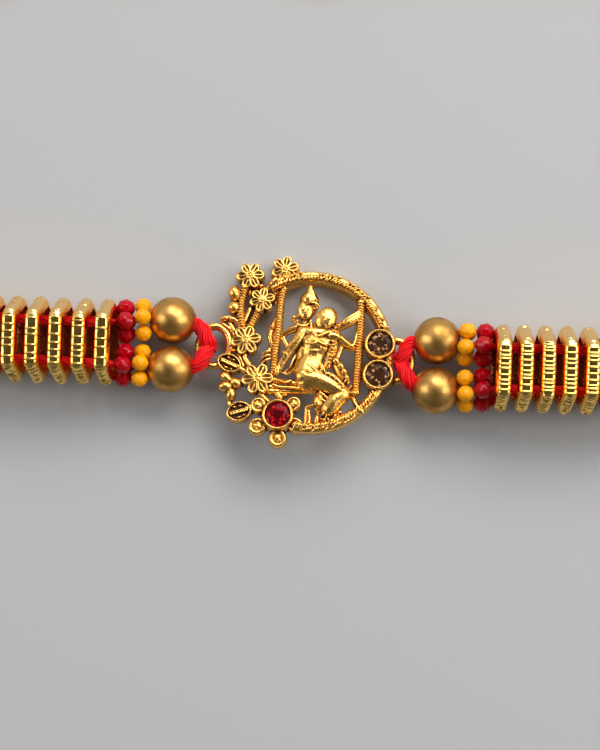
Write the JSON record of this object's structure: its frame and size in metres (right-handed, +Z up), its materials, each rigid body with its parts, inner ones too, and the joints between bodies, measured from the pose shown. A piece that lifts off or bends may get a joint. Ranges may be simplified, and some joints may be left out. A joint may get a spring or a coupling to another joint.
{
  "type": "rakhi thread bracelet",
  "caption": "Red silk rakhi bracelet with a pierced antique-gold pendant of two figures on a flowered swing, gold balls, faceted beads and hexagonal gold ring spacers.",
  "frame": {"origin": "middle of the wrist opening, on the surface that the bracelet lies on", "axes": "+Z up, +X along the front row towards the pendant's right side, -Y from the wrist opening towards the pendant"},
  "size_m": [0.1241, 0.0717, 0.0103],
  "materials": {
    "antique_gold": "cast, dark in the recesses",
    "bright_gold": "mirror polished",
    "satin_gold": "satin",
    "dark_red_stone": "cut and polished",
    "smoky_stone": "cut and polished",
    "yellow_glass": "opaque, faceted",
    "ruby_glass": "clear, faceted",
    "red_silk": "loose silk bundle"
  },
  "bodies": {
    "root": {"pendant": "antique_gold", "red_stone": "dark_red_stone", "upper_amber_stone": "smoky_stone", "lower_amber_stone": "smoky_stone", "left_thread": "red_silk", "right_thread": "red_silk", "tie_knot": "red_silk", "left_inner_ball": "satin_gold", "left_outer_ball": "satin_gold", "right_inner_ball": "satin_gold", "right_outer_ball": "satin_gold", "left_inner_yellow_beads": "yellow_glass", "left_outer_yellow_beads": "yellow_glass", "right_inner_yellow_beads": "yellow_glass", "right_outer_yellow_beads": "yellow_glass", "left_inner_red_beads": "ruby_glass", "left_outer_red_beads": "ruby_glass", "right_inner_red_beads": "ruby_glass", "right_outer_red_beads": "ruby_glass", "left_spacer_1": "bright_gold", "left_spacer_2": "bright_gold", "left_spacer_3": "bright_gold", "left_spacer_4": "bright_gold", "left_spacer_5": "bright_gold", "left_spacer_6": "bright_gold", "left_spacer_7": "bright_gold", "left_spacer_8": "bright_gold", "right_spacer_1": "bright_gold", "right_spacer_2": "bright_gold", "right_spacer_3": "bright_gold", "right_spacer_4": "bright_gold", "right_spacer_5": "bright_gold", "right_spacer_6": "bright_gold", "right_spacer_7": "bright_gold", "right_spacer_8": "bright_gold"}
  },
  "joints": []
}
